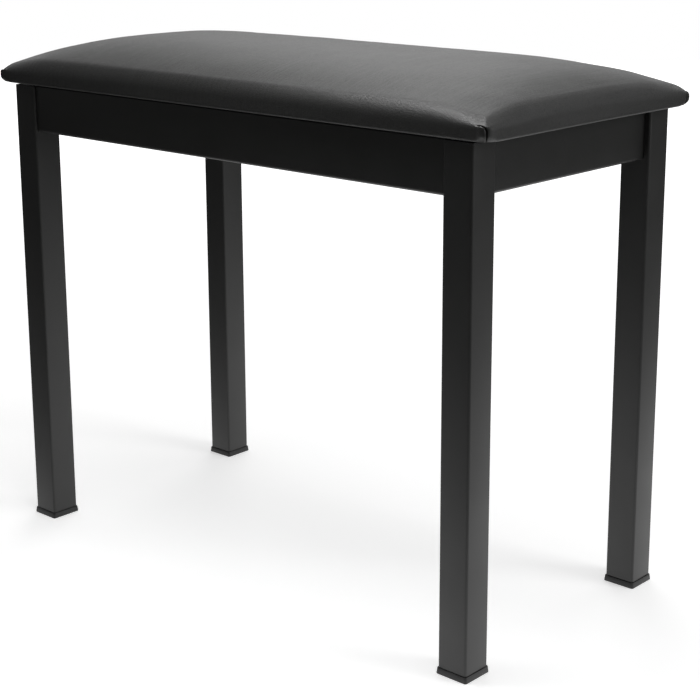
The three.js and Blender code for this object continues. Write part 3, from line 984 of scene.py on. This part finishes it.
# Seat foam. A block of cream foam under the vinyl, cut to the same crown and glued on the board.
# Its corners are cut back, to leave room for the cover's folds.
foam_inset, foam_over = 1.5 * mm, 0.3 * mm
foam_corner, foam_reach = 5 * mm, 30 * mm
tree, shader, place = new_finish("seat_foam", Roughness=0.95, Specular_IOR_Level=0.15)
cells = add(tree, "TexVoronoi", {"Vector": place, "Scale": 900.0}, feature="F1")
colour_by(tree, shader, cells.outputs["Distance"], (0.72, 0.63, 0.38), (0.5, 0.42, 0.24))
bump(tree, shader, cells.outputs["Distance"], 0.5, 0.3 * mm)

bm = bmesh.new()
bm.from_mesh(cover.data)
bm.normal_update()
for vert in bm.verts:
    cut_back = foam_corner * max(1 - from_corner(vert.co) / foam_reach, 0)
    vert.co -= vert.normal * (foam_inset + cut_back)
foam_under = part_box("seat_board")[1].z + foam_over
cut = bmesh.ops.bisect_plane(
    bm, geom=bm.verts[:] + bm.edges[:] + bm.faces[:], plane_co=(0, 0, foam_under),
    plane_no=(0, 0, 1), clear_inner=True,
)
rim_edges = [part for part in cut["geom_cut"] if isinstance(part, bmesh.types.BMEdge)]
bmesh.ops.edgeloop_fill(bm, edges=rim_edges)
foam = show("foam_pad", bm, "seat_frame", "seat_foam", "seat_foam", sharp=60)

# The cover's folds. At each corner the long side's vinyl laps over the end's, and its folded edge
# makes a short upright slit with a curl at its top. Below, the corner is tucked in a little.
lump_slow, lump_fine = 0.35 * mm, 0.1 * mm
fold_wide, fold_high = 26 * mm, 34 * mm


def in_corner(point, reach):
    return max(half_x - abs(point.x), half_y - abs(point.y)) < reach


modify(cover, "SUBSURF", levels=1, render_levels=1)
settle(cover)
bm = bmesh.new()
bm.from_mesh(cover.data)
for reach in (12 * mm, 5.5 * mm):
    edges = set()
    for face in bm.faces:
        middle = face.calc_center_median()
        if in_corner(middle, reach) and middle.z > cover_under + 0.3 * mm:
            edges.update(face.edges)
    bmesh.ops.subdivide_edges(bm, edges=list(edges), cuts=1, use_grid_fill=True)
bm.normal_update()
normals = [vert.normal.copy() for vert in bm.verts]
taut_layer = bm.verts.layers.float.new("taut")
for vert, normal in zip(bm.verts, normals):
    x, y, z = vert.co
    turned, up = by_corner(vert.co)
    shift = 0
    if abs(turned) < fold_wide and up < fold_high and in_corner(vert.co, 30 * mm):
        shift = fold_depth(turned, up)
        vert[taut_layer] = tautness(turned, up)
    low = max(1 - (z - cover_under) / tuck_height, 0)
    tucked = low_tuck * low ** 2 * ease_step(from_corner(vert.co), tuck_reach, 4 * mm)
    vert.co.x -= math.copysign(tucked, x)
    vert.co.y -= math.copysign(tucked, y)
    if z > cover_under + mm:
        slow = noise.noise(Vector((x * 22, y * 26, 1.7)))
        fine = noise.noise(Vector((x * 70, y * 50, 5.1)))
        lumps = slow * lump_slow + fine * lump_fine
        shift += lumps * ease_step(z, cover_under + mm, cover_under + 12 * mm)
    vert.co += normal * shift
    vert.co.z = max(vert.co.z, cover_under)  # clear of the legs' tops as they draw off
    if z < cover_under + mm:
        vert.co.z = min(vert.co.z, z)  # flat under the board
bm.to_mesh(cover.data)
bm.free()
cover.data.shade_smooth()
modify(cover, "SOLIDIFY", thickness=vinyl_thickness, offset=-1)

# Dust cover. Thin black cloth under the seat hides the board and the cover's turned-under edge.
# It is cut a little small, pulled straight and stapled round its edge.
dust_low, dust_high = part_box("dust_cover")
dust_x, dust_y = dust_high.x, dust_high.y
dust_thickness = 0.4 * mm
dust_sag = 2.2 * mm
dust_pucker = 0.35 * mm
dust_crease = 0.5 * mm
staple_in = 7 * mm
staple_step = 45 * mm
tree, shader, place = new_finish("dust_cloth", Specular_IOR_Level=0.2)
weave_x = add(tree, "TexWave", {"Vector": place, "Scale": 170.0}, bands_direction="X")
weave_y = add(tree, "TexWave", {"Vector": place, "Scale": 170.0}, bands_direction="Y")
weave = reckon(tree, "MULTIPLY", weave_x.outputs["Fac"], weave_y.outputs["Fac"])
lint = use(tree, speckle, {"Place": place, "Size": 2.5 * mm})
colour_by(tree, shader, weave, (0.006, 0.006, 0.006), (0.02, 0.02, 0.021))
roughness_by(tree, shader, lint["Mottle"], 0.78, 0.95)
bump(tree, shader, weave, 0.5, 0.15 * mm)

bm = bmesh.new()
bmesh.ops.create_grid(bm, x_segments=108, y_segments=50, size=1)
for vert in bm.verts:
    x, y = vert.co.x * dust_x, vert.co.y * dust_y
    edge = min(dust_x - abs(x), dust_y - abs(y))
    along = x if dust_y - abs(y) < dust_x - abs(x) else y
    pucker = math.cos(math.tau * along / staple_step) * math.exp(-edge / (16 * mm))
    sag = (1 - (x / dust_x) ** 2) * (1 - (y / dust_y) ** 2)
    crease = noise.noise(Vector((x * 14, y * 20, 3.3)))
    edge_wave = noise.noise(Vector((along * 60, 8.8, 2.2))) * 0.5 * mm * math.exp(-edge / (3 * mm))
    x -= math.copysign(edge_wave, x) if along == y else 0
    y -= math.copysign(edge_wave, y) if along == x else 0
    drop = dust_sag * sag + dust_pucker * (1 + pucker) - dust_crease * crease * sag
    vert.co = (x, y, dust_low.z - drop)
dust_sheet = show(
    "dust_sheet", bm, "seat_frame", "dust_cloth", "dust_cover", sharp=180, closed=False
)
if dust_sheet.data.polygons[0].normal.z > 0:
    dust_sheet.data.flip_normals()
modify(dust_sheet, "SOLIDIFY", thickness=dust_thickness, offset=-1)

# Staples. Bright wire staples hold the dust cover all round, driven up into the board.
staple_wide = 10 * mm
staple_wire = 1.1 * mm
staple_leg = 4 * mm
staple_bend, staple_thin = 0.4 * mm, 0.5 * mm
staple_under = 1.2 * mm
staple_end = 20 * mm  # from the cloth's corner to the last staple


def spread(half):
    """Even places along a line, as far apart as the staples are."""
    count = int(2 * half / staple_step)
    return [(step / count - 0.5) * 2 * half for step in range(count + 1)]


spots = []
for side in (-1, 1):
    spots += [(x, side * (dust_y - staple_in), 0) for x in spread(dust_x - staple_end)]
    spots += [(side * (dust_x - staple_in), y, math.pi / 2) for y in spread(dust_y - staple_end)]
bm = bmesh.new()
half = staple_wide / 2
line = [(-half, 0, staple_leg), (-half, 0, 0), (half, 0, 0), (half, 0, staple_leg)]
line = [Vector(point) for point in line]
for number, (x, y, turn) in enumerate(spots):
    one = folded(line, Vector((0, staple_wire, 0)), staple_bend, 2, Vector((0, 0, -1)))
    bmesh.ops.solidify(one, geom=one.faces[:], thickness=staple_thin)
    askew = Matrix.Rotation(turn + 0.16 * math.sin(number * 2.4), 4, "Z")
    seat = Matrix.Translation((x, y, dust_low.z - staple_under))
    put(one, seat @ askew)
    join(bm, one)
show("staples", bm, "seat_frame", "fixing_zinc")

# Studio. A white paper floor, a backdrop behind the bench that is brighter towards its top, and
# soft lamps: a wide one overhead, two behind, one to the right and a small one near the front.
paper_radius = 12
backdrop_away = 4.5
backdrop_half = 1.45


def stage_paper(name, bm, tree, shader):
    """Puts up a paper, which doesn't hide the bench from a camera that looks at its back."""
    behind = add(tree, "NewGeometry").outputs["Backfacing"]
    see_through = add(tree, "BsdfTransparent").outputs[0]
    mix = add(tree, "MixShader", {0: behind, 1: shader.outputs[0], 2: see_through})
    tree.links.new(mix.outputs[0], tree.nodes["Material Output"].inputs["Surface"])
    made = object_of(name, bm)
    made.data.materials.append(finishes[f"{name}_paper"])


# The floor's paper: lit by the lamps, it glows for the camera by what it lacks to be white.
tree, shader, place = new_finish("floor_paper", Roughness=1.0, Specular_IOR_Level=0.0)
path = add(tree, "LightPath").outputs
away = add(tree, "VectorMath", {0: place}, operation="LENGTH").outputs["Value"]
to_spot = add(tree, "VectorMath", {0: place, 1: (0.15, 0.15, 0)}, operation="DISTANCE")
to_spot = to_spot.outputs["Value"]
end = ranged(tree, to_spot, 0.5, 1.85)
# For all but camera rays the paper goes dark past about 1.85 m from the bench: painted shade,
# standing for the unlit studio past the paper's edge.
far_painted_shade = reckon(tree, "MULTIPLY", end, reckon(tree, "SUBTRACT", 1, path["Is Camera Ray"]))
colour_by(tree, shader, far_painted_shade, (0.86, 0.86, 0.86), (0.05, 0.05, 0.05))
lack = ranged(tree, away, 0.8, 3, 0.5, 1)
# Painted reflection: close to the bench the paper also glows for glossy rays, a bright patch that
# no lamp lights, seen only in the bench's reflections.
painted_reflection_glow = reckon(tree, "MULTIPLY", path["Is Glossy Ray"], ranged(tree, to_spot, 0.35, 0.8, 1, 0))
glow = add(tree, "Mix", {0: path["Is Camera Ray"], 2: painted_reflection_glow, 3: lack})
shader.inputs["Emission Color"].default_value = (1, 1, 1, 1)
tree.links.new(glow.outputs[0], shader.inputs["Emission Strength"])
bm = bmesh.new()
bmesh.ops.create_circle(bm, cap_ends=True, segments=64, radius=paper_radius)
stage_paper("floor", bm, tree, shader)

tree, shader, place = new_finish(
    "backdrop_paper", Roughness=1.0, Specular_IOR_Level=0.0, Base_Color=(0, 0, 0, 1),
    Emission_Color=(1, 1, 1, 1),
)
path = add(tree, "LightPath").outputs
height = add(tree, "SeparateXYZ", {0: place}).outputs["Z"]
rising = ranged(tree, height, 0.9, 2.1, 0.6, 1.6)
glow = add(tree, "Mix", {0: path["Is Camera Ray"], 2: rising, 3: 1.0})
tree.links.new(glow.outputs[0], shader.inputs["Emission Strength"])
bm = bmesh.new()
bmesh.ops.create_grid(bm, x_segments=1, y_segments=1, size=1)
bmesh.ops.scale(bm, vec=(6, backdrop_half, 1), verts=bm.verts)
rotate(bm, math.pi / 2, "X")
bmesh.ops.translate(bm, vec=(0, backdrop_away, backdrop_half), verts=bm.verts)
rotate(bm, camera_turn, "Z")
stage_paper("backdrop", bm, tree, shader)

world = bpy.data.worlds.new("studio")
scene.world = world
world.use_nodes = True
tree = world.node_tree
background = tree.nodes["Background"]
path = add(tree, "LightPath").outputs
seen = reckon(tree, "MAXIMUM", path["Is Camera Ray"], path["Is Transmission Ray"])
tree.links.new(ranged(tree, seen, 0, 1, 0.2, 1), background.inputs["Strength"])
background.inputs["Color"].default_value = (1, 1, 1, 1)


def lamp(name, size, power, place, aim):
    """An area lamp of some watts, turned to its aim. The camera doesn't see it."""
    data = bpy.data.lights.new(name, "AREA")
    data.shape = "RECTANGLE"
    data.size, data.size_y = size
    data.energy = power
    made = object_with(name, data)
    made.location = place
    made.rotation_euler = (Vector(aim) - Vector(place)).to_track_quat("-Z", "Y").to_euler()
    made.visible_camera = False


lamp("overhead", (2.4, 2.4), 18, (0.4, 0.3, 2.9), (0, 0, 0.3))
lamp("behind_left", (0.9, 0.9), 7, (-1.1, 1.4, 2.0), (0.1, -0.05, 0.48))
lamp("behind_right", (1.0, 1.0), 2, (0.3, 2.4, 1.9), (0.2, 0, 0.48))
lamp("right", (1.2, 1.6), 28, (2.6, 0.9, 1.2), (0.2, 0, 0.3))
lamp("near_corner", (0.28, 0.28), 2.3, (0.06, -0.2, 0.9), (0.27, -0.14, 0.48))
